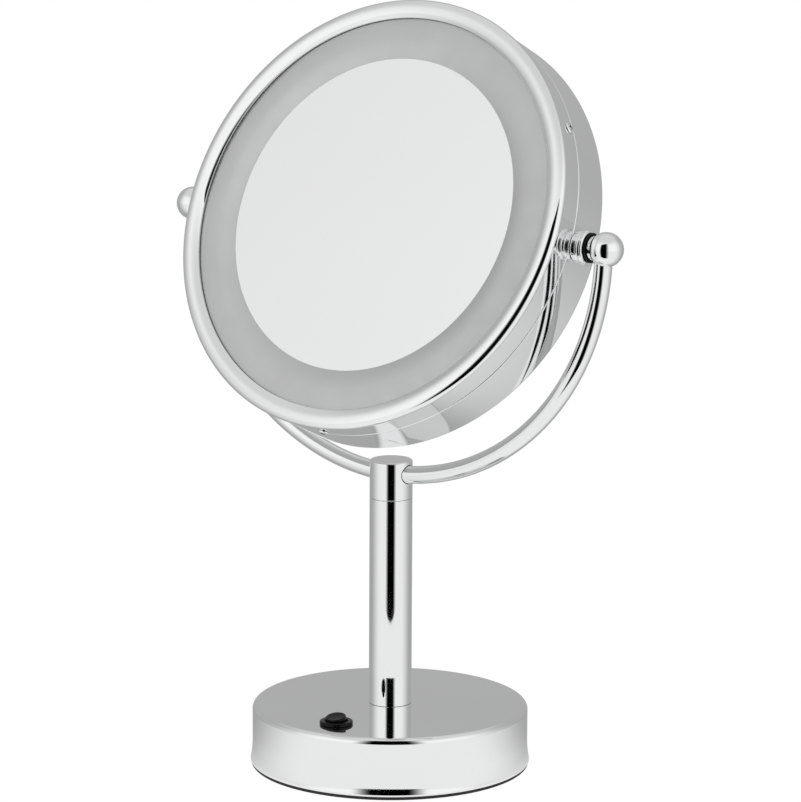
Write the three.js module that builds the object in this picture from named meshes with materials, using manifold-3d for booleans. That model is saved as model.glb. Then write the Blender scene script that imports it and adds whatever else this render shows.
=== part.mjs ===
// Lighted table mirror: a drum-shaped head with a ring light, turning on two side pivots in a
// half-round yoke, on a column and a weighted round base that holds the cells and the switch.
// Units are millimetres, +Z is up, the mirror faces -Y and the pivots lie along X.

import * as THREE from 'three';
import { mergeVertices } from 'three/addons/utils/BufferGeometryUtils.js';
import Module from 'manifold-3d';

const wasm = await Module();
wasm.setup();
const { Manifold, Mesh: ManifoldMesh } = wasm;

// ---------------------------------------------------------------- driving sizes

const GAP = 0.3; // clearance between neighbouring pieces
const SEAM = 0.15; // hairline between pieces that meet in plain view
const SHEET = 1.2; // thickness of the pressed chrome shells

const PIVOT_Z = 270.2; // height of the head's turning axis
const HEAD_TILT = 25; // degrees that the head leans back at rest
const DRUM_R = 108.1;
const DRUM_REAR = -17.1;
const DRUM_SEAM = 6.85; // where the front and rear shells meet
const BEZEL_R = 109; // the bezel stands a little proud of the drum
const BEZEL_EDGE = 20.4; // where it is widest, along the head's own axis from the pivot plane
const BEZEL_ROUND = 2.9;
const BEZEL_FACE_ROUND = 7.35; // its gently domed face
const BEZEL_FACE_TILT = 22; // degrees off the head's axis where the face meets the outer round
const BEZEL_LIP_TILT = 42; // and where it ends above the ring
const BEZEL_LIP_DEPTH = 20.8;

const MIRROR_R = 79.3;
const MIRROR_FACE = 18.95;
const GLASS = 2;

const BALL_X = 124;
const BALL_R = 8.3;
const STUD_R = 2.9;
const WASHER_R = 7.2;
const WASHER_LOW = 115.5;
const WASHER_HIGH = 116.2;
const BEAD_R = 7.9; // the boss's first ring, by the drum
const COLLAR_R = 8.7; // and its second

const YOKE_R = 122.5; // centreline radius of the half-round rod
const YOKE_DROP = 0.7; // its centre sits this far below the pivots
const ROD_R = 4.4;
const ROD_BORE_R = 2.6;

const COLUMN_R = 10.6;
const COLUMN_BORE_R = 9.2;
const CAP_BOTTOM = 134.9;
const CAP_TOP = 153.9;

const BASE_TOP = 30.4;
const BASE_R = 68.5;
const BASE_FLARE_R = 69.5; // its foot spreads a little, from FLARE_HIGH down to FLARE_LOW
const FLARE_HIGH = 12;
const FLARE_LOW = 2.2;
const BASE_ROUND = 3;
const FOOT_HEIGHT = 1.4;

const SWITCH_X = 2.6;
const SWITCH_Y = -48.4;
const FLANGE_R = 8.2;
const CELL_R = 7.2;
const CELL_LENGTH = 50.5;
const CELL_PITCH = 15.2;
const CELL_Z = 11.3;
const CELL_Y = 33;

const FINE = 48; // facets round the large shells
const MEDIUM = 32;
const SMALL = 20;
const TINY = 12;

// ---------------------------------------------------------------- finishes

const finish = (name, color, metalness, roughness) => {
  const material = new THREE.MeshStandardMaterial({ color, metalness, roughness });
  material.name = name;
  return material;
};

const chrome = finish('chrome', 0xd8dadc, 1, 0.08);
const mirrorGlass = finish('mirror_glass', 0xe8ecee, 1, 0.02);
const frosted = finish('frosted_ring', 0xcfd1d2, 0.2, 0.45);
const blackPlastic = finish('black_plastic', 0x111214, 0, 0.4);
const whitePlastic = finish('white_plastic', 0xeeeeec, 0, 0.5);
const rubber = finish('rubber', 0x0c0c0d, 0, 0.8);
const steel = finish('zinc_steel', 0xa9abad, 1, 0.35);
const castIron = finish('cast_iron', 0x3d3e40, 0.8, 0.7);
const boardWhite = finish('lamp_board', 0xf1f1ee, 0, 0.6);
const ledChip = finish('led_chip', 0xf4e9b0, 0, 0.4);
const cellJacket = finish('cell_jacket', 0x3a4f63, 0.4, 0.4);
const wireSleeve = finish('wire_sleeve', 0xb5b5b2, 0, 0.5);

// ---------------------------------------------------------------- solids

// Turns a closed geometry into a manifold solid, with its faces outward.
function solid(geometry) {
  const bare = new THREE.BufferGeometry();
  bare.setAttribute('position', geometry.getAttribute('position').clone());
  if (geometry.index) bare.setIndex(geometry.index.clone());
  const merged = mergeVertices(bare, 1e-4);
  const position = merged.getAttribute('position');
  const source = merged.index.array;
  const triangles = [];
  let volume = 0;
  const [a, b, c] = [new THREE.Vector3(), new THREE.Vector3(), new THREE.Vector3()];
  for (let i = 0; i < source.length; i += 3) {
    const [p, q, r] = [source[i], source[i + 1], source[i + 2]];
    if (p === q || q === r || r === p) continue;
    triangles.push(p, q, r);
    a.fromBufferAttribute(position, p);
    b.fromBufferAttribute(position, q);
    c.fromBufferAttribute(position, r);
    volume += a.dot(b.cross(c));
  }
  if (volume < 0) triangles.reverse();
  const mesh = new ManifoldMesh({
    numProp: 3,
    vertProperties: new Float32Array(position.array),
    triVerts: new Uint32Array(triangles),
  });
  mesh.merge();
  return new Manifold(mesh);
}

// Profile points are [radius, height]; the solid of revolution stands on the Z axis.
function turned(profile, facets) {
  const points = profile.map(([radius, height]) => new THREE.Vector2(radius, height));
  const closesOnAxis = profile[0][0] === 0 && profile.at(-1)[0] === 0;
  if (!closesOnAxis) points.push(points[0].clone());
  return solid(new THREE.LatheGeometry(points, facets).rotateX(Math.PI / 2));
}

const disc = (radius, low, high, facets) => turned([[0, low], [radius, low], [radius, high], [0, high]], facets);

const ring = (inner, outer, low, high, facets) =>
  turned([[inner, low], [outer, low], [outer, high], [inner, high]], facets);

const block = (sizeX, sizeY, low, high, x = 0, y = 0) =>
  solid(new THREE.BoxGeometry(sizeX, sizeY, high - low).translate(x, y, (low + high) / 2));

// A bar along X between two X values, centred on the axis.
const barX = (radius, from, to, facets = SMALL) =>
  solid(new THREE.CylinderGeometry(radius, radius, Math.abs(to - from), facets)
    .rotateZ(Math.PI / 2).translate((from + to) / 2, 0, 0));

const barZ = (radius, low, high, facets = SMALL) =>
  solid(new THREE.CylinderGeometry(radius, radius, high - low, facets)
    .rotateX(Math.PI / 2).translate(0, 0, (low + high) / 2));

const circleShape = (radius, facets) => {
  const shape = new THREE.Shape();
  for (let i = 0; i < facets; i += 1) {
    const angle = (i * 2 * Math.PI) / facets;
    const [x, y] = [radius * Math.cos(angle), radius * Math.sin(angle)];
    if (i === 0) shape.moveTo(x, y);
    else shape.lineTo(x, y);
  }
  shape.closePath();
  return shape;
};

// A round section swept along a curve, hollow when a bore is given.
function swept(curve, radius, steps, facets, bore = 0, boreFacets = 8) {
  const shape = circleShape(radius, facets);
  if (bore > 0) shape.holes.push(circleShape(bore, boreFacets));
  return solid(new THREE.ExtrudeGeometry(shape, { steps, extrudePath: curve }));
}

const arcPoints = (cx, cy, radius, fromDegrees, toDegrees, count) =>
  Array.from({ length: count + 1 }, (_, i) => {
    const angle = THREE.MathUtils.degToRad(fromDegrees + ((toDegrees - fromDegrees) * i) / count);
    return [cx + radius * Math.cos(angle), cy + radius * Math.sin(angle)];
  });

class ArcCurve extends THREE.Curve {
  constructor(radius, centreZ, fromDegrees, toDegrees) {
    super();
    this.radius = radius;
    this.centreZ = centreZ;
    this.from = THREE.MathUtils.degToRad(fromDegrees);
    this.sweep = THREE.MathUtils.degToRad(toDegrees - fromDegrees);
  }

  getPoint(t, target = new THREE.Vector3()) {
    const angle = this.from + this.sweep * t;
    return target.set(this.radius * Math.cos(angle), 0, this.centreZ + this.radius * Math.sin(angle));
  }
}

// A compression spring along X whose coil widens from its small end.
class CoilCurve extends THREE.Curve {
  constructor(startX, length, startR, endR, turns) {
    super();
    Object.assign(this, { startX, length, startR, endR, turns });
  }

  getPoint(t, target = new THREE.Vector3()) {
    const angle = t * this.turns * 2 * Math.PI;
    const radius = this.startR + (this.endR - this.startR) * t;
    return target.set(this.startX + this.length * t, radius * Math.cos(angle), radius * Math.sin(angle));
  }
}

// ---------------------------------------------------------------- assembly

const model = new THREE.Group();
model.name = 'lighted_vanity_mirror';

function add(name, body, material) {
  const mesh = body.getMesh();
  const geometry = new THREE.BufferGeometry();
  geometry.setAttribute('position', new THREE.BufferAttribute(new Float32Array(mesh.vertProperties), 3));
  geometry.setIndex(new THREE.BufferAttribute(new Uint32Array(mesh.triVerts), 1));
  geometry.computeVertexNormals();
  const node = new THREE.Mesh(geometry, material);
  node.name = name;
  model.add(node);
}

// The head is drawn upright about its own axis (+Z out of the mirror, +Y to its top), then leaned back.
const headPlacement = new THREE.Matrix4()
  .makeTranslation(0, 0, PIVOT_Z)
  .multiply(new THREE.Matrix4().makeRotationX(THREE.MathUtils.degToRad(90 - HEAD_TILT)));

const moved = (body, matrix) => body.transform(matrix.toArray());
const addToHead = (name, body, material) => add(name, moved(body, headPlacement), material);

// ---------------------------------------------------------------- head shells

const drumInnerR = DRUM_R - SHEET;
const bezelRoundR = BEZEL_R - BEZEL_ROUND;
const faceShift = BEZEL_FACE_ROUND - BEZEL_ROUND;
const faceTilt = THREE.MathUtils.degToRad(BEZEL_FACE_TILT);
const faceCentreR = bezelRoundR - faceShift * Math.sin(faceTilt);
const faceCentre = BEZEL_EDGE - faceShift * Math.cos(faceTilt);
const bezelLipR = faceCentreR - BEZEL_FACE_ROUND * Math.sin(THREE.MathUtils.degToRad(BEZEL_LIP_TILT));
const INNER_FACE_START = 127; // degrees; inside, the face's arc stops short of the lip
const BEZEL_STEP = 0.9; // depth behind the widest part where the drum steps out to the bezel
const CASE_SCREW_ANGLES = [-90, 30, 150];
const CASE_SCREW_DEPTH = 11;
const WIRE_HOLE_X = 92;

const sideBore = (radius, from, to) => barX(radius, from, to, SMALL);
const bothSides = (make) => make(1).add(make(-1));
const radialAt = (body, degrees, depth) => body.rotate([0, 0, degrees]).translate([0, 0, depth]);

function frontShell() {
  const profile = [
    [DRUM_R, DRUM_SEAM + SEAM],
    [DRUM_R, BEZEL_EDGE - BEZEL_STEP],
    ...arcPoints(bezelRoundR, BEZEL_EDGE, BEZEL_ROUND, 0, 90 - BEZEL_FACE_TILT, 4),
    ...arcPoints(faceCentreR, faceCentre, BEZEL_FACE_ROUND, 90 - BEZEL_FACE_TILT, 90 + BEZEL_LIP_TILT, 6).slice(1),
    [bezelLipR, BEZEL_LIP_DEPTH],
    [bezelLipR + SHEET, BEZEL_LIP_DEPTH],
    ...arcPoints(faceCentreR, faceCentre, BEZEL_FACE_ROUND - SHEET, INNER_FACE_START, 90 - BEZEL_FACE_TILT, 4),
    ...arcPoints(bezelRoundR, BEZEL_EDGE, BEZEL_ROUND - SHEET, 90 - BEZEL_FACE_TILT, 0, 3).slice(1),
    [drumInnerR, BEZEL_EDGE - SHEET],
    [drumInnerR, DRUM_SEAM + SEAM],
  ];
  let shell = turned(profile, FINE);
  for (const degrees of CASE_SCREW_ANGLES) {
    shell = shell.subtract(radialAt(sideBore(1.6, 100, 112), degrees, CASE_SCREW_DEPTH));
  }
  return shell;
}

function rearShell() {
  const round = 1.6;
  const profile = [
    [DRUM_R, DRUM_SEAM - SEAM],
    [drumInnerR, DRUM_SEAM - SEAM],
    [drumInnerR, DRUM_REAR + round],
    [drumInnerR - 0.4, DRUM_REAR + SHEET],
    [99.5, DRUM_REAR + SHEET],
    [99.5, DRUM_REAR],
    ...arcPoints(DRUM_R - round, DRUM_REAR + round, round, -90, 0, 3),
  ];
  return turned(profile, FINE).subtract(bothSides((side) => sideBore(4.2, side * 100, side * 112)));
}

const frameWallR = drumInnerR - GAP;
const frameInnerR = 103;

function innerFrame() {
  const profile = [
    [0, 5.3],
    [frameInnerR, 5.3],
    [frameInnerR, -6],
    [frameWallR, -6],
    [frameWallR, 15],
    [frameInnerR, 15],
    [frameInnerR, 6.7],
    [0, 6.7],
  ];
  let frame = turned(profile, MEDIUM).subtract(bothSides((side) => sideBore(4.2, side * 100, side * 112)));
  for (const degrees of CASE_SCREW_ANGLES) {
    frame = frame.subtract(radialAt(sideBore(1.6, 101, 112), degrees, CASE_SCREW_DEPTH));
  }
  return frame.subtract(barZ(1.8, 4, 8).translate([WIRE_HOLE_X, 0, 0]));
}

addToHead('front_shell', frontShell(), chrome);
addToHead('rear_shell', rearShell(), chrome);
addToHead('inner_frame', innerFrame(), whitePlastic);

function caseScrew(degrees) {
  const head = turned([
    [0, DRUM_R + SEAM],
    [2.9, DRUM_R + SEAM],
    [2.8, DRUM_R + 0.7],
    [2, DRUM_R + 1.15],
    [0, DRUM_R + 1.3],
  ], TINY);
  const shank = disc(1.3, 103.4, DRUM_R + 0.6, TINY);
  return radialAt(head.add(shank).rotate([0, 90, 0]), degrees, CASE_SCREW_DEPTH);
}

CASE_SCREW_ANGLES.forEach((degrees, i) => {
  addToHead(`case_screw_${i + 1}`, caseScrew(degrees), chrome);
});

// ---------------------------------------------------------------- mirror and ring light

const ringInnerR = MIRROR_R + GAP;
const ringOuterR = 101.4;
const ringEdge = 19.2;
const ringLipEdge = 20.1;
const ringCrown = 21;
const ringUnder = 17.3;

const frontRing = turned([
  [ringInnerR, ringUnder],
  [ringOuterR, ringUnder],
  [ringOuterR, ringLipEdge],
  [96, ringCrown - 0.2],
  [89.5, ringCrown],
  [83.5, ringCrown - 0.4],
  [ringInnerR, ringEdge],
], FINE);
addToHead('front_ring', frontRing, frosted);
addToHead('front_mirror', disc(MIRROR_R, MIRROR_FACE - GLASS, MIRROR_FACE, FINE), mirrorGlass);
addToHead('mirror_backing', disc(78.5, 14.6, MIRROR_FACE - GLASS - GAP, MEDIUM), blackPlastic);

const channel = turned([
  [80.3, 7],
  [101, 7],
  [101, 17],
  [99.6, 17],
  [99.6, 8.4],
  [81.7, 8.4],
  [81.7, 16.7],
  [80.3, 16.7],
], MEDIUM).subtract(barZ(1.8, 6, 9).translate([WIRE_HOLE_X, 0, 0]));
addToHead('light_channel', channel, whitePlastic);
addToHead('led_board', ring(83.5, 98.5, 8.7, 10.2, MEDIUM), boardWhite);

const LED_COUNT = 6;
const LED_SIZE = 5;
for (let i = 0; i < LED_COUNT; i += 1) {
  const chip = block(LED_SIZE, LED_SIZE, 10.5, 12.1, 91).rotate([0, 0, 30 + (i * 360) / LED_COUNT]);
  addToHead(`led_${i + 1}`, chip, ledChip);
}

// ---------------------------------------------------------------- rear mirror

const REAR_SPHERE_R = 750; // gives about threefold magnification
const REAR_GLASS_R = 101.5;
const rearEdge = DRUM_REAR + SHEET + GAP;
const rearDish = (r) => rearEdge + (REAR_GLASS_R ** 2 - r ** 2) / (2 * REAR_SPHERE_R);
const rearRadii = [0, 34, 62, 84, REAR_GLASS_R];
const rearGlass = turned([
  ...rearRadii.map((r) => [r, rearDish(r)]),
  ...rearRadii.toReversed().map((r) => [r, rearDish(r) + GLASS]),
], FINE);
addToHead('rear_mirror', rearGlass, mirrorGlass);
const retainerLow = rearDish(97) + GLASS + GAP;
addToHead('rear_retainer', ring(97, frameWallR, retainerLow, retainerLow + 1.4, MEDIUM), blackPlastic);

// ---------------------------------------------------------------- pivots

// Turned boss on the drum wall: spigot through the wall, neck, then the large flange.
function pivotBoss() {
  const low = DRUM_R + SEAM;
  const profile = [
    [STUD_R + 0.08, 103.4],
    [3.9, 103.4],
    [3.9, low],
    [6.9, low],
    [BEAD_R, low + 0.9],
    [BEAD_R, 110.7],
    [6.9, 111.6],
    [6.9, 112],
    [7.9, 112],
    [COLLAR_R, 112.8],
    [COLLAR_R, 114.4],
    [7.9, 115.2],
    [STUD_R + 0.08, 115.2],
  ];
  return turned(profile, 24).rotate([0, 90, 0]);
}

function pivotBall() {
  const flat = 116.6;
  const flatR = Math.sqrt(BALL_R ** 2 - (BALL_X - flat) ** 2);
  const start = THREE.MathUtils.radToDeg(Math.acos((flat - BALL_X) / BALL_R));
  const profile = [[0, flat], [flatR, flat]];
  const steps = 10;
  for (let i = 1; i <= steps; i += 1) {
    const angle = THREE.MathUtils.degToRad(start * (1 - i / steps));
    profile.push([i === steps ? 0 : BALL_R * Math.sin(angle), BALL_X + BALL_R * Math.cos(angle)]);
  }
  const ball = turned(profile, SMALL).rotate([0, 90, 0]);
  const studBore = barX(STUD_R + 0.2, flat - 1, 122.5);
  const rodBore = barZ(ROD_R + 0.35, -BALL_R - 1, -1.7).translate([YOKE_R, 0, 0]);
  return ball.subtract(studBore).subtract(rodBore);
}

const pivotStud = () => ring(1.5, STUD_R, 98.8, 121.5, TINY).rotate([0, 90, 0]);
const pivotNut = () => disc(4.9, 99.2, 102.2, 6).subtract(disc(STUD_R + 0.12, 99, 103, TINY)).rotate([0, 90, 0]);
const frictionWasher = () => ring(STUD_R + 0.12, WASHER_R, WASHER_LOW, WASHER_HIGH, SMALL).rotate([0, 90, 0]);

for (const [label, degrees] of [['right', 0], ['left', 180]]) {
  const place = (body) => body.rotate([0, 0, degrees]).translate([0, 0, PIVOT_Z]);
  add(`pivot_boss_${label}`, place(pivotBoss()), chrome);
  add(`ball_${label}`, place(pivotBall()), chrome);
  add(`pivot_stud_${label}`, place(pivotStud()), steel);
  add(`pivot_nut_${label}`, place(pivotNut()), steel);
  add(`friction_washer_${label}`, place(frictionWasher()), blackPlastic);
}

// ---------------------------------------------------------------- yoke and column

const yokeCentreZ = PIVOT_Z - YOKE_DROP;
const yokeLowZ = yokeCentreZ - YOKE_R;
const rodEndDegrees = 1.7;
const yokeCurve = new ArcCurve(YOKE_R, yokeCentreZ, 180 + rodEndDegrees, 360 - rodEndDegrees);
add('yoke', swept(yokeCurve, ROD_R, 44, 16, ROD_BORE_R, 8), chrome);

function columnCap() {
  const round = 1;
  const body = turned([
    [0, CAP_BOTTOM - 7],
    [COLUMN_BORE_R - 0.2, CAP_BOTTOM - 7],
    [COLUMN_BORE_R - 0.2, CAP_BOTTOM],
    [COLUMN_R - 0.3, CAP_BOTTOM],
    [COLUMN_R, CAP_BOTTOM + 0.3],
    [COLUMN_R, CAP_TOP - round],
    [COLUMN_R - 0.3 * round, CAP_TOP - 0.3 * round],
    [COLUMN_R - round, CAP_TOP],
    [0, CAP_TOP],
  ], 32);
  const rodBore = swept(new ArcCurve(YOKE_R, yokeCentreZ, 262, 278), ROD_R + 0.3, 8, 24);
  const rodThread = barZ(3.2, CAP_BOTTOM - 8, 141.5);
  return body.subtract(rodBore).subtract(rodThread);
}

add('column_cap', columnCap(), chrome);

const columnTube = turned([
  [COLUMN_BORE_R, BASE_TOP + SEAM],
  [COLUMN_R, BASE_TOP + SEAM],
  [COLUMN_R, CAP_BOTTOM - SEAM - 0.3],
  [COLUMN_R - 0.3, CAP_BOTTOM - SEAM],
  [COLUMN_BORE_R, CAP_BOTTOM - SEAM],
], 32);
add('column_tube', columnTube, chrome);

const WIRE_X = 7;
add('tie_rod', barZ(3, 14, 141, TINY), steel);
add('tie_washer', ring(3.2, 5.2, 19.6, 20.7, SMALL), steel);
add('tie_nut', disc(5, 15, 19.3, 6).subtract(disc(3.15, 14, 20, TINY)), steel);
add('column_wire', barZ(1.1, 17, 127, 8).translate([WIRE_X, 0, 0]), wireSleeve);

class LampWireCurve extends THREE.CatmullRomCurve3 {
  constructor(startX) {
    super([
      new THREE.Vector3(startX, 0, 0),
      new THREE.Vector3(95.5, 0, 0.2),
      new THREE.Vector3(WIRE_HOLE_X + 0.3, 0, 2.5),
      new THREE.Vector3(WIRE_HOLE_X, 0, 5.5),
      new THREE.Vector3(WIRE_HOLE_X, 0, 8.4),
    ]);
  }
}
addToHead('head_wire', swept(new LampWireCurve(98.6), 1, 12, 8), wireSleeve);

// ---------------------------------------------------------------- base

const flareLow = FOOT_HEIGHT + GAP;
const baseInnerR = BASE_R - SHEET;
const ballastLow = 21;
const ballastHigh = BASE_TOP - SHEET - GAP;
const COVER_LOW = 1.6;
const COVER_HIGH = 3.2;
const COVER_SCREW_SPOTS = [[-50.2, -29], [50.2, -29], [0, -59]];

const baseShell = turned([
  [8.8, BASE_TOP],
  [8.8, BASE_TOP - SHEET],
  ...arcPoints(BASE_R - BASE_ROUND, BASE_TOP - BASE_ROUND, BASE_ROUND - SHEET, 90, 0, 3),
  [baseInnerR, 10.2],
  [BASE_FLARE_R - SHEET, 4.2],
  [BASE_FLARE_R - SHEET, flareLow],
  [BASE_FLARE_R, flareLow],
  ...[0, 0.3, 0.6, 1].map((share) => [
    BASE_R + (BASE_FLARE_R - BASE_R) * (1 - share) ** 2,
    FLARE_LOW + (FLARE_HIGH - FLARE_LOW) * share,
  ]),
  ...arcPoints(BASE_R - BASE_ROUND, BASE_TOP - BASE_ROUND, BASE_ROUND, 0, 90, 5),
], FINE).subtract(disc(7.2, BASE_TOP - 3, BASE_TOP + 1, SMALL).translate([SWITCH_X, SWITCH_Y, 0]));
add('base_shell', baseShell, chrome);

function baseBallast() {
  let plate = ring(3.5, 62, ballastLow, ballastHigh, MEDIUM);
  plate = plate.subtract(disc(7.6, ballastLow - 1, ballastHigh + 1, SMALL).translate([SWITCH_X, SWITCH_Y, 0]));
  plate = plate.subtract(disc(1.5, ballastLow - 1, ballastHigh + 1, TINY).translate([WIRE_X, 0, 0]));
  for (const [x, y] of COVER_SCREW_SPOTS) {
    plate = plate.subtract(disc(1.6, ballastLow - 1, 26, TINY).translate([x, y, 0]));
  }
  return plate;
}

add('base_ballast', baseBallast(), castIron);
add('foot_ring', ring(64.6, BASE_FLARE_R - 0.5, 0, FOOT_HEIGHT, FINE), rubber);

const DOOR_X = 55;
const doorLow = CELL_Y - 23.1;
const doorHigh = CELL_Y + 23.1;
const doorMiddle = (doorLow + doorHigh) / 2;
const TAB_X = 9;
const tabLow = 1.4;
const DOOR_SCREW_Y = 5.2;

const doorOutline = (grow, low, high) => {
  const plate = block(DOOR_X + grow, doorHigh - doorLow + grow, low, high, 0, doorMiddle);
  const tabMiddle = (doorLow + tabLow) / 2 + 1 - grow / 2;
  return plate.add(block(TAB_X + grow, doorLow - tabLow + 2, low, high, 0, tabMiddle));
};

function bottomCover() {
  let cover = disc(baseInnerR - 0.4, COVER_LOW, COVER_HIGH, MEDIUM);
  for (const [x, y] of COVER_SCREW_SPOTS) {
    cover = cover.add(disc(4, COVER_HIGH - 0.5, ballastLow - GAP, TINY).translate([x, y, 0]));
    cover = cover.subtract(disc(1.7, COVER_LOW - 1, ballastLow + 1, TINY).translate([x, y, 0]));
  }
  return cover.subtract(doorOutline(0.7, COVER_LOW - 1, COVER_HIGH + 1));
}

add('bottom_cover', bottomCover(), blackPlastic);
const doorScrewHole = disc(1.7, 0, 5, TINY).translate([0, DOOR_SCREW_Y, 0]);
add('battery_door', doorOutline(0, COVER_LOW, COVER_HIGH - 0.2).subtract(doorScrewHole), blackPlastic);

function batteryTray() {
  const wall = 1.4;
  const sizeX = 62;
  const sizeY = 3 * CELL_PITCH + 3.4;
  const low = COVER_HIGH + GAP;
  const shell = block(sizeX, sizeY, low, ballastLow - GAP, 0, CELL_Y);
  const hollow = block(sizeX - 2 * wall, sizeY - 2 * wall, low - 1, ballastLow - GAP - wall, 0, CELL_Y);
  const lug = block(7, 5.2, low, low + 6, 0, CELL_Y - sizeY / 2 - 2);
  const hole = disc(1.5, low - 1, low + 5, TINY).translate([0, DOOR_SCREW_Y, 0]);
  return shell.subtract(hollow).add(lug).subtract(hole);
}

add('battery_tray', batteryTray(), blackPlastic);

function screw(headR, headLow, headHigh, shankR, top) {
  return turned([
    [0, headLow],
    [headR - 0.4, headLow],
    [headR, headLow + 0.4],
    [headR, headHigh],
    [shankR, headHigh],
    [shankR, top],
    [0, top],
  ], TINY);
}

add('battery_door_screw', screw(2.6, 0.5, 1.45, 1.3, 8).translate([0, DOOR_SCREW_Y, 0]), steel);
COVER_SCREW_SPOTS.forEach(([x, y], i) => {
  add(`cover_screw_${i + 1}`, screw(2.8, 0.5, 1.45, 1.4, 25.5).translate([x, y, 0]), steel);
});

// ---------------------------------------------------------------- cells and contacts

const trayInnerX = 29.6;
const PLATE = 0.4;
const cellLine = [-1, 0, 1].map((row, i) => ({
  name: i + 1,
  y: CELL_Y + row * CELL_PITCH,
  facing: i % 2 === 0 ? 1 : -1,
}));

function cell() {
  const half = CELL_LENGTH / 2;
  return turned([
    [0, -half],
    [CELL_R - 0.5, -half],
    [CELL_R, -half + 0.5],
    [CELL_R, half - 2],
    [CELL_R - 0.5, half - 1.5],
    [2.6, half - 1.3],
    [2.6, half],
    [0, half],
  ], SMALL).rotate([0, 90, 0]);
}

for (const { name, y, facing } of cellLine) {
  const place = (body) => body.rotate([0, 0, facing > 0 ? 0 : 180]).translate([0, y, CELL_Z]);
  add(`cell_${name}`, place(cell().translate([trayInnerX - PLATE - GAP - 0.4 - CELL_LENGTH / 2, 0, 0])), cellJacket);
  const springEnd = trayInnerX - PLATE - GAP - 0.4 - CELL_LENGTH - 0.8;
  const springStart = -trayInnerX + PLATE + 0.8;
  const coil = new CoilCurve(springStart, springEnd - springStart, 4.6, 2.6, 2.5);
  add(`cell_spring_${name}`, place(swept(coil, 0.4, 30, 6)), steel);
}

for (const [label, side, row] of [['near', -1, -0.5], ['far', 1, 0.5]]) {
  const x = side * (trayInnerX - PLATE / 2 - 0.05);
  const plate = block(PLATE, 2 * CELL_PITCH - 4, CELL_Z - 5.5, CELL_Z + 5.5, x, CELL_Y + row * CELL_PITCH);
  add(`contact_plate_${label}`, plate, steel);
}

// ---------------------------------------------------------------- switch

const ROCKER_AXIS_Z = BASE_TOP + 0.9;
const ROCKER_R = 5.05;
const ROCKER_TILT = 11; // degrees off level at rest, its column side up
const WELL_R = 5.75;
const flangeTop = BASE_TOP + 1.8;

function switchHousing() {
  const body = turned([
    [0, 15],
    [6.9, 15],
    [6.9, BASE_TOP + SEAM],
    [FLANGE_R, BASE_TOP + SEAM],
    [FLANGE_R, flangeTop - 0.9],
    [FLANGE_R - 0.9, flangeTop],
    [0, flangeTop],
  ], SMALL);
  const well = disc(WELL_R, 24, flangeTop + 1, SMALL);
  const pinBore = barX(0.75, -6.7, 6.7, TINY).translate([0, 0, ROCKER_AXIS_Z]);
  return body.subtract(well).subtract(pinBore).translate([SWITCH_X, SWITCH_Y, 0]);
}

// The round rocker about its own pin: a shallow dish on top, narrower below so that it can tip in its well.
function rocker() {
  const body = turned([
    [0, -3.6],
    [1.6, -3.6],
    [4.2, -1.4],
    [4.9, 0.2],
    [ROCKER_R, 1],
    [ROCKER_R, 2.55],
    [ROCKER_R - 0.4, 2.95],
    [0, 2.7],
  ], SMALL);
  const bore = barX(0.72, -6, 6, TINY);
  return body.subtract(bore).rotate([ROCKER_TILT, 0, 0]).translate([SWITCH_X, SWITCH_Y, ROCKER_AXIS_Z]);
}

const rockerPin = barX(0.65, -6.5, 6.5, TINY).translate([SWITCH_X, SWITCH_Y, ROCKER_AXIS_Z]);
add('switch_housing', switchHousing(), blackPlastic);
add('switch_rocker', rocker(), blackPlastic);
add('rocker_pin', rockerPin, steel);

export default model;
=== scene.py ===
"""Looks for the lighted table mirror: smooth polished shells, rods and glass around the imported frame.

Profiles are written in millimetres as [radius, height] and scaled to metres when a mesh is made.
"""

import math

import bmesh
import bpy
from mathutils import Matrix, Vector


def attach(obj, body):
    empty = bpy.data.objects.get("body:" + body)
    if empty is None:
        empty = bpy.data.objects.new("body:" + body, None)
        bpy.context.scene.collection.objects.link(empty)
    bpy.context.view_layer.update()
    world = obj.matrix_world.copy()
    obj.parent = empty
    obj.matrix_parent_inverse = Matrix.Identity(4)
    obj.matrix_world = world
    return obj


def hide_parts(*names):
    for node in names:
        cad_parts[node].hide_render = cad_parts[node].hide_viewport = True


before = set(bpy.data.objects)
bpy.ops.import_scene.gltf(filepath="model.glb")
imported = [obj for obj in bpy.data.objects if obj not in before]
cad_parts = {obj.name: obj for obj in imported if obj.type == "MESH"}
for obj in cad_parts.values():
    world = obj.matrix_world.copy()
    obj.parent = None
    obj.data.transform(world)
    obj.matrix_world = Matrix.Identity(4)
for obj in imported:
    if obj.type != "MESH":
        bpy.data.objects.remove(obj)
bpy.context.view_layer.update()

# ---------------------------------------------------------------- driving sizes, millimetres

MM = 0.001

SEAM = 0.1  # half of the hairline between pieces that meet in plain view
SEAM_ROUND = 0.45  # the shells' rolled edges at that hairline
SHEET = 1.2

PIVOT_Z = 270.2
HEAD_TILT = 25
DRUM_R = 108.1
DRUM_REAR = -17.1
DRUM_SEAM = 6.85
BEZEL_R = 109  # the bezel stands a little proud of the drum
BEZEL_EDGE = 20.4  # where it is widest, along the head's own axis from the pivot plane
BEZEL_ROUND = 2.9
BEZEL_FACE_ROUND = 7.35  # its gently domed face
BEZEL_FACE_TILT = 22  # degrees off the head's axis where the face meets the outer round
BEZEL_LIP_TILT = 42  # and where it ends above the ring
BEZEL_LIP_DEPTH = 20.8
BEZEL_STEP = 0.9  # it steps out from the drum this far behind its widest place
BEZEL_STEP_ROUND = ((0.35, 0.8), (0.1, 0.5))  # points of that step, inward and back from the edge
BEZEL_INNER_STEP = 1.2
INNER_FACE_START = 127  # degrees, where the sheet's inner side starts under the lip
REAR_ROUND = 1.6
REAR_OPENING_R = 99.5
REAR_LIP_ROUND = 0.4  # its rolled rim, and the bevel inside the drum's corner

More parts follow.
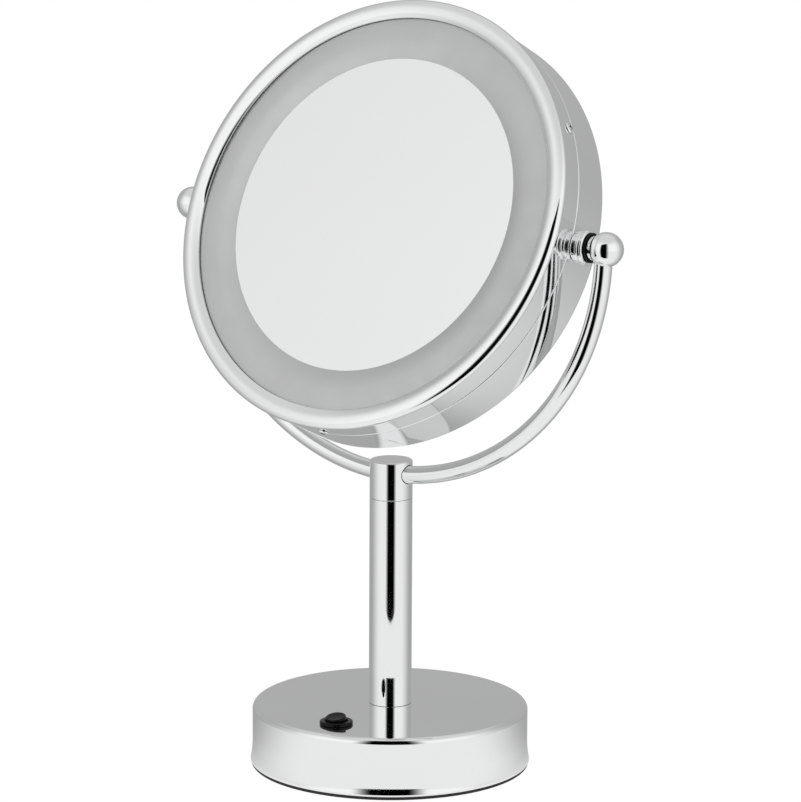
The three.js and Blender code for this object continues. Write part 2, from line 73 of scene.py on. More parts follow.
MIRROR_R = 79.3
MIRROR_FACE = 18.95
GLASS = 2
REAR_GLASS_R = 101.5
REAR_SPHERE_R = 750  # radius of its dished face
REAR_GLASS_GAP = 0.3

CASE_SCREW_ANGLES = (-90, 30, 150)
CASE_SCREW_DEPTH = 11
CASE_SCREW_R = 2.9
CASE_SCREW_HIGH = 1.3
RECESS_DEPTH = 0.85

BALL_X = 124
BALL_R = 8.3
BALL_FLAT_X = 116.6
BALL_NECK_R = 6
BALL_BORE_TOP = -1.7  # the yoke's end goes up into the ball as far as this, from the pivot line
STUD_R = 2.9
WASHER_R = 7.2
WASHER_LOW = 115.5
WASHER_HIGH = 116.2
BEAD_R = 7.9  # the boss's first ring, by the drum
COLLAR_R = 8.7  # and its second
BEAD_ROUND = 1
COLLAR_ROUND = 1.2
BOSS_START = 103.4  # inside the drum, along the pivot line
BOSS_NECK_R = 3.9
BEAD_HIGH = 110.6  # the rings' edges are rounded about these places
COLLAR_LOW = 113.2
COLLAR_HIGH = 114.0
BOSS_END = 115.2

YOKE_R = 122.5
YOKE_DROP = 0.7
YOKE_END = 1.7
ROD_R = 4.4

COLUMN_R = 10.6
COLUMN_BORE_R = 9.2
CAP_BOTTOM = 134.9
CAP_TOP = 153.9
CAP_PLUG = 7  # length of the cap's plug in the tube
CAP_EDGE = 0.25  # small round at the hairline between cap and tube

BASE_TOP = 30.4
BASE_R = 68.5
BASE_FLARE_R = 69.5  # its foot spreads a little, from FLARE_HIGH down to FLARE_LOW
FLARE_HIGH = 12
FLARE_LOW = 2.2
INNER_FLARE_HIGH = 10.2  # the same spread on the sheet's inner side
INNER_FLARE_LOW = 4.2
BASE_HOLE_R = 8.8  # under the column
BASE_ROUND = 3
FOOT_HEIGHT = 1.4
FOOT_INNER_R = 64.6

SWITCH_X = 2.6
SWITCH_Y = -48.4
FLANGE_R = 8.2
FLANGE_TOP = BASE_TOP + 1.8
ROCKER_AXIS_Z = BASE_TOP + 0.9
ROCKER_R = 5.05
ROCKER_TILT = 11  # degrees off level at rest, its column side up
WELL_R = 5.75
WELL_FLOOR = 24
HOUSING_R = 6.9
HOUSING_BOTTOM = 15
FLANGE_ROUND = 0.9
ROCKER_TOP = 2.95  # above its axis
ROCKER_DISH_R = 4.5
ROCKER_DISH_DEPTH = 0.25

ROUND = 256  # segments round the large turned pieces
ROUND_SMALL = 96
HOLD = 0.12  # support points sit this far from the ends of a straight stretch
SMOOTH_ANGLE = 38

# ---------------------------------------------------------------- camera

VIEW_AZIMUTH = 35.72  # degrees from -Y towards +X
VIEW_ELEVATION = 11.13
VIEW_ROLL = 0.29
VIEW_DISTANCE = 1.9736
VIEW_HEIGHT = 0.18311
VIEW_SIDE = 0.00443
LENS = 180.39
SENSOR = 36


def view_axes():
    """Unit vectors of the photograph's view: towards the camera, to its right, and up in its frame."""
    azimuth, elevation = math.radians(VIEW_AZIMUTH), math.radians(VIEW_ELEVATION)
    back = Vector((
        math.sin(azimuth) * math.cos(elevation),
        -math.cos(azimuth) * math.cos(elevation),
        math.sin(elevation),
    ))
    right = (-back).cross(Vector((0, 0, 1))).normalized()
    return back, right, right.cross(-back)


def make_camera():
    back, right, up = view_axes()
    roll = math.radians(VIEW_ROLL)
    rolled_right = math.cos(roll) * right + math.sin(roll) * up
    rolled_up = math.cos(roll) * up - math.sin(roll) * right
    target = Vector((0, 0, VIEW_HEIGHT)) + VIEW_SIDE * right
    data = bpy.data.cameras.new("camera")
    data.lens = LENS
    data.sensor_fit = "AUTO"
    data.sensor_width = SENSOR
    data.clip_end = 50
    camera = bpy.data.objects.new("camera", data)
    turn = Matrix((rolled_right, rolled_up, back)).transposed().to_4x4()
    camera.matrix_world = Matrix.Translation(target + back * VIEW_DISTANCE) @ turn
    bpy.context.scene.collection.objects.link(camera)
    bpy.context.scene.camera = camera


# ---------------------------------------------------------------- node helpers


class Tree:
    """A material's or the world's nodes, with short calls to add and join them."""

    def __init__(self, owner):
        owner.use_nodes = True
        self.nodes = owner.node_tree.nodes
        self.links = owner.node_tree.links

    def add(self, kind, **settings):
        node = self.nodes.new(kind)
        for key, value in settings.items():
            setattr(node, key, value)
        return node

    def feed(self, socket, value):
        if isinstance(value, bpy.types.NodeSocket):
            self.links.new(value, socket)
        else:
            socket.default_value = value

    def math(self, operation, first, second=0.0):
        node = self.add("ShaderNodeMath", operation=operation)
        self.feed(node.inputs[0], first)
        self.feed(node.inputs[1], second)
        return node.outputs[0]

    def noise(self, scale, detail):
        coordinates = self.add("ShaderNodeTexCoord").outputs["Object"]
        texture = self.add("ShaderNodeTexNoise")
        texture.inputs["Scale"].default_value = scale
        texture.inputs["Detail"].default_value = detail
        self.links.new(coordinates, texture.inputs["Vector"])
        return texture.outputs["Fac"]

    def spread(self, value, low, high, start=0.3, end=0.7):
        node = self.add("ShaderNodeMapRange", interpolation_type="SMOOTHSTEP")
        self.feed(node.inputs["Value"], value)
        node.inputs["From Min"].default_value = start
        node.inputs["From Max"].default_value = end
        node.inputs["To Min"].default_value = low
        node.inputs["To Max"].default_value = high
        return node.outputs["Result"]

    def blend(self, factor, first, second):
        node = self.add("ShaderNodeMix", data_type="RGBA")
        self.feed(node.inputs["Factor"], factor)
        self.feed(node.inputs["A"], first)
        self.feed(node.inputs["B"], second)
        return node.outputs["Result"]

    def bump(self, height, strength, distance):
        node = self.add("ShaderNodeBump")
        node.inputs["Strength"].default_value = strength
        node.inputs["Distance"].default_value = distance
        self.links.new(height, node.inputs["Height"])
        return node.outputs["Normal"]


def grey(level, warmth=0.0):
    """An opaque grey, pushed a little to warm (positive) or cool (negative)."""
    return (level * (1 + warmth), level, level * (1 - warmth), 1)


def surface(name, tones, roughness, metallic=0.0, patch=60, grain=None, ior=1.5):
    """A material whose tone and roughness drift in soft patches, with a bump of its own grain.

    tones and roughness are (low, high) pairs, patch is the patches' frequency per metre, and grain is
    (frequency, strength, depth in metres).
    """
    material = bpy.data.materials.new(name)
    tree = Tree(material)
    shader = tree.nodes["Principled BSDF"]
    drift = tree.noise(patch, 4)
    tree.feed(shader.inputs["Base Color"], tree.blend(drift, tones[0], tones[1]))
    tree.feed(shader.inputs["Roughness"], tree.spread(tree.noise(patch * 2.3, 5), *roughness))
    shader.inputs["Metallic"].default_value = metallic
    shader.inputs["IOR"].default_value = ior
    if grain:
        frequency, strength, depth = grain
        tree.feed(shader.inputs["Normal"], tree.bump(tree.noise(frequency, 3), strength, depth))
    return material


def make_materials():
    return {
        "chrome": surface(
            "chrome",
            tones=(grey(0.875, -0.004), grey(0.915, -0.003)),
            roughness=(0.022, 0.05),
            metallic=1.0,
            patch=18,
            grain=(26, 0.05, 0.0004),
        ),
        "mirror_glass": surface(
            "mirror_glass",
            tones=(grey(0.91, -0.003), grey(0.94, -0.003)),
            roughness=(0.004, 0.012),
            metallic=1.0,
            patch=9,
        ),
        "frosted_ring": surface(
            "frosted_ring",
            tones=(grey(0.60, -0.004), grey(0.64, -0.004)),
            roughness=(0.44, 0.50),
            metallic=0.9,
            patch=40,
            grain=(2600, 0.10, 0.0001),
        ),
        "black_plastic": surface(
            "black_plastic",
            tones=(grey(0.003), grey(0.006)),
            roughness=(0.14, 0.24),
            metallic=0.0,
            patch=220,
            grain=(3200, 0.06, 0.0001),
            ior=1.24,
        ),
        "white_plastic": surface(
            "white_plastic",
            tones=(grey(0.80, 0.01), grey(0.86, 0.01)),
            roughness=(0.42, 0.55),
            metallic=0.0,
            patch=120,
            grain=(1800, 0.10, 0.0001),
        ),
        "rubber": surface(
            "rubber",
            tones=(grey(0.010), grey(0.018)),
            roughness=(0.62, 0.82),
            metallic=0.0,
            patch=300,
            grain=(2400, 0.25, 0.0002),
        ),
        "zinc_steel": surface(
            "zinc_steel",
            tones=(grey(0.46, 0.02), grey(0.60, 0.0)),
            roughness=(0.26, 0.42),
            metallic=1.0,
            patch=380,
            grain=(2600, 0.15, 0.0001),
        ),
        "cast_iron": surface(
            "cast_iron",
            tones=(grey(0.035, 0.04), grey(0.075, 0.02)),
            roughness=(0.55, 0.8),
            metallic=0.7,
            patch=180,
            grain=(900, 0.5, 0.0006),
        ),
        "lamp_board": surface(
            "lamp_board",
            tones=(grey(0.78, 0.01), grey(0.84, 0.01)),
            roughness=(0.45, 0.6),
            metallic=0.0,
            patch=200,
            grain=(1500, 0.08, 0.0001),
        ),
        "led_chip": surface(
            "led_chip",
            tones=((0.80, 0.62, 0.16, 1), (0.88, 0.74, 0.30, 1)),
            roughness=(0.25, 0.4),
            metallic=0.0,
            patch=700,
            grain=(2400, 0.1, 0.0001),
        ),
        "cell_jacket": surface(
            "cell_jacket",
            tones=((0.035, 0.07, 0.12, 1), (0.05, 0.09, 0.15, 1)),
            roughness=(0.25, 0.4),
            metallic=0.4,
            patch=160,
            grain=(1200, 0.06, 0.0001),
        ),
        "wire_sleeve": surface(
            "wire_sleeve",
            tones=(grey(0.42, 0.01), grey(0.50, 0.01)),
            roughness=(0.4, 0.55),
            metallic=0.0,
            patch=500,
            grain=(2200, 0.1, 0.0001),
        ),
    }


# ---------------------------------------------------------------- mesh helpers


def arc(centre_x, centre_y, radius, start, end, steps=10):
    """Points along a circular arc, its ends in degrees."""
    points = []
    for i in range(steps + 1):
        angle = math.radians(start + (end - start) * i / steps)
        points.append((centre_x + radius * math.cos(angle), centre_y + radius * math.sin(angle)))
    return points


def held(profile, closed):
    """The profile with a support point close to each end of its long straight stretches."""
    points = []
    count = len(profile) if closed else len(profile) - 1
    for i in range(count):
        start = Vector(profile[i])
        end = Vector(profile[(i + 1) % len(profile)])
        points.append(tuple(start))
        length = (end - start).length
        if length > 6 * HOLD:
            step = (end - start) * (HOLD / length)
            points.append(tuple(start + step))
            points.append(tuple(end - step))
    if not closed:
        points.append(tuple(profile[-1]))
    return points


def finish_mesh(name, made, matrix=None):
    """Turns a bmesh into an object with its faces outward, smooth apart from real edges."""
    bmesh.ops.recalc_face_normals(made, faces=made.faces)
    mesh = bpy.data.meshes.new(name)
    made.to_mesh(mesh)
    made.free()
    if matrix:
        mesh.transform(matrix)
    mesh.shade_smooth()
    mesh.set_sharp_from_angle(angle=math.radians(SMOOTH_ANGLE))
    piece = bpy.data.objects.new(name, mesh)
    bpy.context.scene.collection.objects.link(piece)
    return piece


def turned(name, profile, segments=ROUND, matrix=None):
    """A solid of revolution about Z. A profile that doesn't end on the axis closes on itself."""
    on_axis = profile[0][0] == 0 and profile[-1][0] == 0
    points = held(profile, not on_axis)
    made = bmesh.new()
    rings = []
    for radius, height in points:
        if radius == 0:
            rings.append([made.verts.new((0, 0, height * MM))])
            continue
        ring = []
        for i in range(segments):
            angle = 2 * math.pi * i / segments
            x = radius * MM * math.cos(angle)
            y = radius * MM * math.sin(angle)
            ring.append(made.verts.new((x, y, height * MM)))
        rings.append(ring)
    pairs = list(zip(rings, rings[1:]))
    if not on_axis:
        pairs.append((rings[-1], rings[0]))
    for low, high in pairs:
        for i in range(segments):
            j = (i + 1) % segments
            if len(low) == 1 and len(high) == 1:
                continue
            if len(low) == 1:
                made.faces.new((low[0], high[i], high[j]))
            elif len(high) == 1:
                made.faces.new((low[i], low[j], high[0]))
            else:
                made.faces.new((low[i], low[j], high[j], high[i]))
    return finish_mesh(name, made, matrix)


def half_round_rod(name, radius, start, end, steps, sides):
    """A round rod bent along the yoke's circle, from start to end in degrees."""
    centre = Vector((0, 0, PIVOT_Z - YOKE_DROP))
    made = bmesh.new()
    rings = []
    for i in range(steps + 1):
        angle = math.radians(start + (end - start) * i / steps)
        outward = Vector((math.cos(angle), 0, math.sin(angle)))
        ring = []
        for k in range(sides):
            turn = 2 * math.pi * k / sides
            offset = outward * math.cos(turn) + Vector((0, 1, 0)) * math.sin(turn)
            ring.append(made.verts.new((centre + outward * YOKE_R + offset * radius) * MM))
        rings.append(ring)
    for low, high in zip(rings, rings[1:]):
        for k in range(sides):
            m = (k + 1) % sides
            made.faces.new((low[k], low[m], high[m], high[k]))
    made.faces.new(rings[0])
    made.faces.new(rings[-1])
    return finish_mesh(name, made)


def block(name, low, high, matrix=None):
    """A box between two corners in millimetres, used to cut wells and recesses."""
    made = bmesh.new()
    bmesh.ops.create_cube(made, size=1)
    middle = (Vector(low) + Vector(high)) / 2
    for vert in made.verts:
        place = [middle[i] + vert.co[i] * (high[i] - low[i]) for i in range(3)]
        vert.co = Vector(place) * MM
    return finish_mesh(name, made, matrix)


def apply_modifiers(piece):
    graph = bpy.context.evaluated_depsgraph_get()
    mesh = bpy.data.meshes.new_from_object(piece.evaluated_get(graph))
    piece.modifiers.clear()
    piece.data = mesh
    mesh.shade_smooth()
    mesh.set_sharp_from_angle(angle=math.radians(SMOOTH_ANGLE))
    return piece


def cut(piece, *cutters):
    """Takes the cutters out of the piece and removes them."""
    for cutter in cutters:
        modifier = piece.modifiers.new("cut", "BOOLEAN")
        modifier.operation = "DIFFERENCE"
        modifier.solver = "EXACT"
        modifier.object = cutter
    apply_modifiers(piece)
    for cutter in cutters:
        bpy.data.objects.remove(cutter)
    return piece


# ---------------------------------------------------------------- pieces

HEAD_PLACE = Matrix.Translation((0, 0, PIVOT_Z * MM)) @ Matrix.Rotation(math.radians(90 - HEAD_TILT), 4, "X")
ALONG_X = Matrix.Rotation(math.radians(90), 4, "Y")
BEZEL_ROUND_R = BEZEL_R - BEZEL_ROUND
FACE_SHIFT = BEZEL_FACE_ROUND - BEZEL_ROUND
FACE_CENTRE_R = BEZEL_ROUND_R - FACE_SHIFT * math.sin(math.radians(BEZEL_FACE_TILT))
FACE_CENTRE = BEZEL_EDGE - FACE_SHIFT * math.cos(math.radians(BEZEL_FACE_TILT))
LIP_R = FACE_CENTRE_R - BEZEL_FACE_ROUND * math.sin(math.radians(BEZEL_LIP_TILT))


def dress(piece, body, slot, *nodes):
    """Gives a piece its material, its body and the CAD nodes that it stands for."""
    piece.data.materials.clear()
    piece.data.materials.append(materials[slot])
    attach(piece, body)
    if nodes:
        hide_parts(*nodes)
    return piece


def front_shell():
    meet, lip = 90 - BEZEL_FACE_TILT, 90 + BEZEL_LIP_TILT
    profile = [
        (DRUM_R - SEAM_ROUND, DRUM_SEAM + SEAM),
        *arc(DRUM_R - SEAM_ROUND, DRUM_SEAM + SEAM + SEAM_ROUND, SEAM_ROUND, -90, 0, 6)[1:],
        (DRUM_R, BEZEL_EDGE - BEZEL_STEP),
        *[(BEZEL_R - inward, BEZEL_EDGE - back) for inward, back in BEZEL_STEP_ROUND],
        *arc(BEZEL_ROUND_R, BEZEL_EDGE, BEZEL_ROUND, 0, meet, 16),
        *arc(FACE_CENTRE_R, FACE_CENTRE, BEZEL_FACE_ROUND, meet, lip, 24)[1:],
        (LIP_R, BEZEL_LIP_DEPTH),
        (LIP_R + SHEET, BEZEL_LIP_DEPTH),
        *arc(FACE_CENTRE_R, FACE_CENTRE, BEZEL_FACE_ROUND - SHEET, INNER_FACE_START, meet, 10),
        *arc(BEZEL_ROUND_R, BEZEL_EDGE, BEZEL_ROUND - SHEET, meet, 0, 8)[1:],
        (DRUM_R - SHEET, BEZEL_EDGE - BEZEL_INNER_STEP),
        (DRUM_R - SHEET, DRUM_SEAM + SEAM),
    ]
    return turned("bezel_shell", profile, ROUND, HEAD_PLACE)


def rear_shell():
    profile = [
        *arc(DRUM_R - SEAM_ROUND, DRUM_SEAM - SEAM - SEAM_ROUND, SEAM_ROUND, 0, 90, 6),
        (DRUM_R - SHEET, DRUM_SEAM - SEAM),
        (DRUM_R - SHEET, DRUM_REAR + REAR_ROUND),
        (DRUM_R - SHEET - REAR_LIP_ROUND, DRUM_REAR + SHEET),
        (REAR_OPENING_R, DRUM_REAR + SHEET),
        *arc(REAR_OPENING_R + REAR_LIP_ROUND, DRUM_REAR + REAR_LIP_ROUND, REAR_LIP_ROUND, 180, 270, 5),
        *arc(DRUM_R - REAR_ROUND, DRUM_REAR + REAR_ROUND, REAR_ROUND, -90, 0, 12),
    ]
    return turned("drum_shell", profile, ROUND, HEAD_PLACE)


RING_INNER_R = MIRROR_R + 0.05
RING_OUTER_R = 101.4
RING_INNER_EDGE = 19.0
RING_LIP_EDGE = 20.3
RING_CROWN = 21
RING_UNDER = 17.3


def light_ring():
    """The satin ring: a low crown that falls away to the mirror and to the bezel."""
    middle = (RING_INNER_R + LIP_R) / 2
    crown = []
    steps = 24
    for i in range(steps + 1):
        radius = RING_OUTER_R + (RING_INNER_R - RING_OUTER_R) * i / steps
        edge = RING_INNER_EDGE if radius < middle else RING_LIP_EDGE
        reach = (radius - middle) / (middle - RING_INNER_R)
        crown.append((radius, RING_CROWN - (RING_CROWN - edge) * reach ** 2))
    profile = [(RING_INNER_R, RING_UNDER), (RING_OUTER_R, RING_UNDER), *crown]
    return turned("light_ring", profile, ROUND, HEAD_PLACE)


def front_mirror():
    profile = [
        (0, MIRROR_FACE - GLASS),
        (MIRROR_R, MIRROR_FACE - GLASS),
        (MIRROR_R, MIRROR_FACE),
        (0, MIRROR_FACE),
    ]
    return turned("looking_glass", profile, ROUND, HEAD_PLACE)


def rear_mirror():
    edge = DRUM_REAR + SHEET + REAR_GLASS_GAP
    steps = 40

    def dish(radius):
        return edge + (REAR_GLASS_R ** 2 - radius ** 2) / (2 * REAR_SPHERE_R)

    radii = [REAR_GLASS_R * i / steps for i in range(steps + 1)]
    outer = [(radius, dish(radius)) for radius in radii]
    inner = [(radius, dish(radius) + GLASS) for radius in reversed(radii)]
    return turned("magnifying_glass", outer + inner, ROUND, HEAD_PLACE)


def cross_recess(matrix, top, depth, reach=1.45, width=0.42):
    """Two crossed slots for a screw head whose top is at the given height."""
    return [
        block("recess", (-reach, -width, top - depth), (reach, width, top + 1), matrix),
        block("recess", (-width, -reach, top - depth), (width, reach, top + 1), matrix),
    ]


def case_screw(index, degrees):
    place = HEAD_PLACE @ Matrix.Translation((0, 0, CASE_SCREW_DEPTH * MM))
    place = place @ Matrix.Rotation(math.radians(degrees), 4, "Z") @ ALONG_X
    low, top = DRUM_R + SEAM, DRUM_R + CASE_SCREW_HIGH
    profile = [
        (0, low),
        (2.75, low),
        (CASE_SCREW_R, low + 0.12),
        (CASE_SCREW_R, low + 0.3),
        (2.72, low + 0.62),
        (2.2, low + 0.92),
        (1.4, low + 1.09),
        (0, top),
    ]
    head = turned(f"case_screw_head_{index}", profile, ROUND_SMALL, place)
    return cut(head, *cross_recess(place, top, RECESS_DEPTH))


def pivot_boss(label, place):
    bore = STUD_R + 0.08
    low = DRUM_R + SEAM
    profile = [
        (bore, BOSS_START),
        (BOSS_NECK_R, BOSS_START),
        (BOSS_NECK_R, low),
        *arc(BEAD_R - BEAD_ROUND, low + BEAD_ROUND, BEAD_ROUND, 270, 360, 8),
        *arc(BEAD_R - BEAD_ROUND, BEAD_HIGH, BEAD_ROUND, 0, 90, 8),
        *arc(COLLAR_R - COLLAR_ROUND, COLLAR_LOW, COLLAR_ROUND, 270, 360, 8),
        *arc(COLLAR_R - COLLAR_ROUND, COLLAR_HIGH, COLLAR_ROUND, 0, 90, 8),
        (bore, BOSS_END),
    ]
    return turned(f"pivot_collar_{label}", profile, ROUND_SMALL, place)


def pivot_washer(label, place):
    profile = [
        (STUD_R + 0.12, WASHER_LOW),
        *arc(WASHER_R - 0.3, WASHER_LOW + 0.3, 0.3, -90, 0, 4),
        *arc(WASHER_R - 0.3, WASHER_HIGH - 0.3, 0.3, 0, 90, 4),
        (STUD_R + 0.12, WASHER_HIGH),
    ]
    return turned(f"washer_{label}", profile, ROUND_SMALL, place)


def pivot_ball(label, place):
    start = 180 - math.degrees(math.asin(BALL_NECK_R / BALL_R))
    profile = [(0, BALL_FLAT_X), *arc(BALL_NECK_R - 0.2, BALL_FLAT_X + 0.2, 0.2, -90, 0, 4)]
    steps = 48
    for i in range(steps + 1):
        angle = math.radians(start * (1 - i / steps))
        radius = 0 if i == steps else BALL_R * math.sin(angle)
        profile.append((radius, BALL_X + BALL_R * math.cos(angle)))
    ball = turned(f"end_ball_{label}", profile, ROUND_SMALL, place)
    side = 1 if label == "right" else -1
    bore_place = Matrix.Translation((side * YOKE_R * MM, 0, PIVOT_Z * MM))
    bore_profile = [
        (0, -BALL_R - 1),
        (ROD_R + 0.2, -BALL_R - 1),
        (ROD_R + 0.2, BALL_BORE_TOP),
        (0, BALL_BORE_TOP),
    ]
    bore = turned("bore", bore_profile, ROUND_SMALL, bore_place)
    return cut(ball, bore)


def column_cap():
    rim = 1
    profile = [
        (0, CAP_BOTTOM - CAP_PLUG),
        (COLUMN_BORE_R - 0.2, CAP_BOTTOM - CAP_PLUG),
        (COLUMN_BORE_R - 0.2, CAP_BOTTOM),
        (COLUMN_R - CAP_EDGE, CAP_BOTTOM),
        *arc(COLUMN_R - CAP_EDGE, CAP_BOTTOM + CAP_EDGE, CAP_EDGE, -90, 0, 4)[1:],
        *arc(COLUMN_R - rim, CAP_TOP - rim, rim, 0, 90, 10),
        (0, CAP_TOP),
    ]
    cap = turned("yoke_cap", profile, ROUND)
    return cut(cap, half_round_rod("bore", ROD_R + 0.3, 262, 278, 24, 64))


def column_tube():
    top = CAP_BOTTOM - SEAM
    profile = [
        (COLUMN_BORE_R, BASE_TOP + SEAM),
        (COLUMN_R - 0.1, BASE_TOP + SEAM),
        (COLUMN_R, BASE_TOP + SEAM + 0.1),
        *arc(COLUMN_R - CAP_EDGE, top - CAP_EDGE, CAP_EDGE, 0, 90, 4),
        (COLUMN_BORE_R, top),
    ]
    return turned("column", profile, ROUND)


def base_shell():
    foot = FOOT_HEIGHT + 0.3
    inner = BASE_R - SHEET
    profile = [
        (BASE_HOLE_R, BASE_TOP),
        (BASE_HOLE_R, BASE_TOP - SHEET),
        *arc(BASE_R - BASE_ROUND, BASE_TOP - BASE_ROUND, BASE_ROUND - SHEET, 90, 0, 8),
        (inner, INNER_FLARE_HIGH),
        (BASE_FLARE_R - SHEET, INNER_FLARE_LOW),
        (BASE_FLARE_R - SHEET, foot),
        (BASE_FLARE_R - 0.1, foot),
        (BASE_FLARE_R, foot + 0.1),
    ]
    steps = 14
    for i in range(steps + 1):
        share = i / steps
        height = FLARE_LOW + (FLARE_HIGH - FLARE_LOW) * share
        profile.append((BASE_R + (BASE_FLARE_R - BASE_R) * (1 - share) ** 2, height))
    profile += arc(BASE_R - BASE_ROUND, BASE_TOP - BASE_ROUND, BASE_ROUND, 0, 90, 20)
    return turned("base_cover", profile, ROUND)


def foot_ring():
    outer = BASE_FLARE_R - 0.5
    profile = [
        (FOOT_INNER_R, 0.3),
        (64.9, 0),
        (outer - 0.3, 0),
        (outer, 0.3),
        (outer, FOOT_HEIGHT - 0.2),
        (outer - 0.2, FOOT_HEIGHT),
        (FOOT_INNER_R, FOOT_HEIGHT),
    ]
    return turned("foot_pad_ring", profile, ROUND)


SWITCH_PLACE = Matrix.Translation((SWITCH_X * MM, SWITCH_Y * MM, 0))


def switch_housing():
    profile = [
        (0, HOUSING_BOTTOM),
        (HOUSING_R, HOUSING_BOTTOM),
        (HOUSING_R, BASE_TOP + SEAM),
        (FLANGE_R - 0.2, BASE_TOP + SEAM),
        (FLANGE_R, BASE_TOP + SEAM + 0.2),
        *arc(FLANGE_R - FLANGE_ROUND, FLANGE_TOP - FLANGE_ROUND, FLANGE_ROUND, 0, 90, 8),
        (0, FLANGE_TOP),
    ]
    housing = turned("switch_body", profile, ROUND_SMALL, SWITCH_PLACE)
    well_profile = [
        (0, WELL_FLOOR),
        (WELL_R, WELL_FLOOR),
        (WELL_R, FLANGE_TOP - 0.3),
        (WELL_R + 0.3, FLANGE_TOP + 0.01),
        (0, 35),
    ]
    return cut(housing, turned("well", well_profile, ROUND_SMALL, SWITCH_PLACE))


def rocker():
    """The round rocker: a shallow dish with a soft rim, narrower below so that it can tip in its well."""

    def dish(radius):
        return ROCKER_TOP - ROCKER_DISH_DEPTH * (1 - (radius / ROCKER_DISH_R) ** 2)

    profile = [
        (0, -3.6),
        (1.6, -3.6),
        (4.2, -1.4),
        (4.9, 0.2),
        (ROCKER_R, 1),
        *arc(ROCKER_R - 0.5, 2.45, 0.5, 0, 90, 6),
        *[(radius, dish(radius)) for radius in (4.3, 3.6, 2.7, 1.8, 0.9, 0)],
    ]
    place = SWITCH_PLACE @ Matrix.Translation((0, 0, ROCKER_AXIS_Z * MM))
    place = place @ Matrix.Rotation(math.radians(ROCKER_TILT), 4, "X")
    return turned("rocker_cap", profile, ROUND_SMALL, place)


def make_head():
    dress(front_shell(), "head", "chrome", "front_shell")
    dress(rear_shell(), "head", "chrome", "rear_shell")
    dress(light_ring(), "head", "frosted_ring", "front_ring")
    dress(front_mirror(), "head", "mirror_glass", "front_mirror")
    dress(rear_mirror(), "head", "mirror_glass", "rear_mirror")
    for i, degrees in enumerate(CASE_SCREW_ANGLES, 1):
        dress(case_screw(i, degrees), "head", "chrome", f"case_screw_{i}")


def make_pivots():
    for label, degrees in (("right", 0), ("left", 180)):
        turn = Matrix.Rotation(math.radians(degrees), 4, "Z")
        place = Matrix.Translation((0, 0, PIVOT_Z * MM)) @ turn @ ALONG_X
        dress(pivot_boss(label, place), "head", "chrome", f"pivot_boss_{label}")
        dress(pivot_washer(label, place), "stand", "black_plastic", f"friction_washer_{label}")
        dress(pivot_ball(label, place), "stand", "chrome", f"ball_{label}")


def make_stand():
    yoke = half_round_rod("yoke_rod", ROD_R, 180 + YOKE_END, 360 - YOKE_END, 256, 64)
    dress(yoke, "stand", "chrome", "yoke")
    dress(column_cap(), "stand", "chrome", "column_cap")
    dress(column_tube(), "stand", "chrome", "column_tube")
    dress(base_shell(), "stand", "chrome", "base_shell")
    dress(foot_ring(), "stand", "rubber", "foot_ring")
    dress(switch_housing(), "stand", "black_plastic", "switch_housing")
    dress(rocker(), "rocker", "black_plastic", "switch_rocker")


def dress_cad_nodes():
    """The CAD nodes that still show get the detailed material of the slot that they came with."""
    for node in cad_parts.values():
        if node.hide_render:
            continue
        slot = node.data.materials[0].name
        node.data.materials.clear()
        node.data.materials.append(materials[slot])


# ---------------------------------------------------------------- studio

# A plain soft set: brightest towards the camera, dimmer behind the object and overhead.
FRONT_LIGHT = 1.0
BACK_LIGHT = 0.45
SOFT_TURN = 0.6  # the change from back to front lies between these cosines, minus and plus
OVERHEAD_LIGHT = 0.7
OVERHEAD_START = 0.5  # upward part of a direction where the overhead light starts
OVERHEAD_FULL = 0.9  # and where nothing else is left
FLOOR_SHARE = 0.9  # the pale floor's painted light in reflections is this share of the set's light beside it
FLOOR_R = 4
FLOOR_DROP = 0.0002  # just below the foot, in metres

# The dark gap in the front of the set that the camera looks through, in metres.
GAP_DISTANCE = 0.3
GAP_HALF = 0.07
GAP_TOP = 0.5
GAP_SHADE = 0.1  # how far the soft shade reaches on each side of it


def level_toward_camera():
    """The level direction from the object towards the camera."""
    back, _, _ = view_axes()
    return Vector((back.x, back.y, 0)).normalized()


def light_round_the_set(tree, vector):
    """Brightness in the direction that a vector points in: a soft change from front to back."""
    flat = tree.add("ShaderNodeVectorMath", operation="MULTIPLY")
    tree.feed(flat.inputs[0], vector)
    flat.inputs[1].default_value = (1, 1, 0)
    heading = tree.add("ShaderNodeVectorMath", operation="NORMALIZE")
    tree.feed(heading.inputs[0], flat.outputs["Vector"])
    facing = tree.add("ShaderNodeVectorMath", operation="DOT_PRODUCT")
    tree.feed(facing.inputs[0], heading.outputs["Vector"])
    facing.inputs[1].default_value = level_toward_camera()
    return tree.spread(facing.outputs["Value"], BACK_LIGHT, FRONT_LIGHT, -SOFT_TURN, SOFT_TURN)


def make_world():
    """White behind the object for the camera, and a soft set for reflections and fill."""
    world = bpy.data.worlds.new("studio")
    bpy.context.scene.world = world
    tree = Tree(world)
    background = tree.nodes["Background"]
    direction = tree.add("ShaderNodeTexCoord").outputs["Generated"]
    split = tree.add("ShaderNodeSeparateXYZ")
    tree.feed(split.inputs[0], direction)
    overhead = tree.spread(split.outputs["Z"], 0.0, 1.0, OVERHEAD_START, OVERHEAD_FULL)
    set_light = tree.blend(overhead, light_round_the_set(tree, direction), grey(OVERHEAD_LIGHT))
    seen = tree.add("ShaderNodeLightPath").outputs["Is Camera Ray"]
    tree.feed(background.inputs["Color"], tree.blend(seen, set_light, grey(1.0)))


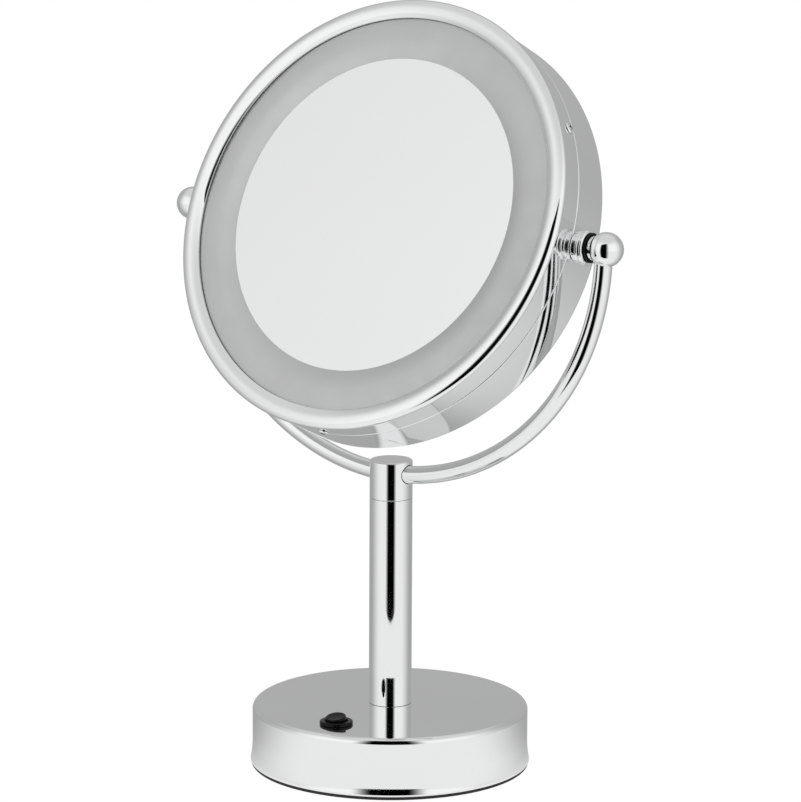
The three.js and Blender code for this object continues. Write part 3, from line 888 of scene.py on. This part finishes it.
def glow(name, build):
    """A material of pure emission whose colour the build function makes, plus how much of it shows."""
    material = bpy.data.materials.new(name)
    tree = Tree(material)
    tree.nodes.remove(tree.nodes["Principled BSDF"])
    emission = tree.add("ShaderNodeEmission")
    clear = tree.add("ShaderNodeBsdfTransparent")
    mix = tree.add("ShaderNodeMixShader")
    colour, cover = build(tree)
    tree.feed(emission.inputs["Color"], colour)
    tree.feed(mix.inputs[0], cover)
    tree.links.new(clear.outputs[0], mix.inputs[1])
    tree.links.new(emission.outputs[0], mix.inputs[2])
    tree.links.new(mix.outputs[0], tree.nodes["Material Output"].inputs["Surface"])
    return material


def make_floor():
    # The floor glows instead of taking light. It is plain white for the camera. In reflections it shows
    # painted light that copies the set, brighter towards the camera and dimmer behind.
    def build(tree):
        place = tree.add("ShaderNodeTexCoord").outputs["Object"]
        painted_floor_light = tree.math("MULTIPLY", light_round_the_set(tree, place), FLOOR_SHARE)
        seen = tree.add("ShaderNodeLightPath").outputs["Is Camera Ray"]
        return tree.blend(seen, painted_floor_light, grey(1.0)), 1.0

    made = bmesh.new()
    bmesh.ops.create_circle(made, cap_ends=True, segments=ROUND_SMALL, radius=FLOOR_R)
    floor = finish_mesh("floor", made, Matrix.Translation((0, 0, -FLOOR_DROP)))
    floor.data.materials.append(glow("floor_painted_light", build))


def make_gap():
    """A black upright sheet with soft sides, towards the camera, that only reflections see."""

    def build(tree):
        split = tree.add("ShaderNodeSeparateXYZ")
        tree.feed(split.inputs[0], tree.add("ShaderNodeTexCoord").outputs["Object"])
        aside = tree.math("ABSOLUTE", split.outputs["X"])
        return grey(0.0), tree.spread(aside, 1.0, 0.0, GAP_HALF, GAP_HALF + GAP_SHADE)

    _, across, _ = view_axes()
    toward = level_toward_camera()
    reach = GAP_HALF + GAP_SHADE
    made = bmesh.new()
    corners = [(-reach, 0), (reach, 0), (reach, GAP_TOP), (-reach, GAP_TOP)]
    made.faces.new([made.verts.new((x, 0, z)) for x, z in corners])
    card = finish_mesh("gap", made)
    turn = Matrix((across, -toward, Vector((0, 0, 1)))).transposed().to_4x4()
    card.matrix_world = Matrix.Translation(toward * GAP_DISTANCE) @ turn
    card.data.materials.append(glow("gap", build))
    card.visible_camera = False
    card.visible_diffuse = False
    card.visible_shadow = False


# ---------------------------------------------------------------- making it all

bpy.context.scene.view_settings.view_transform = "Standard"
make_camera()
materials = make_materials()
make_head()
make_pivots()
make_stand()
dress_cad_nodes()
make_world()
make_floor()
make_gap()
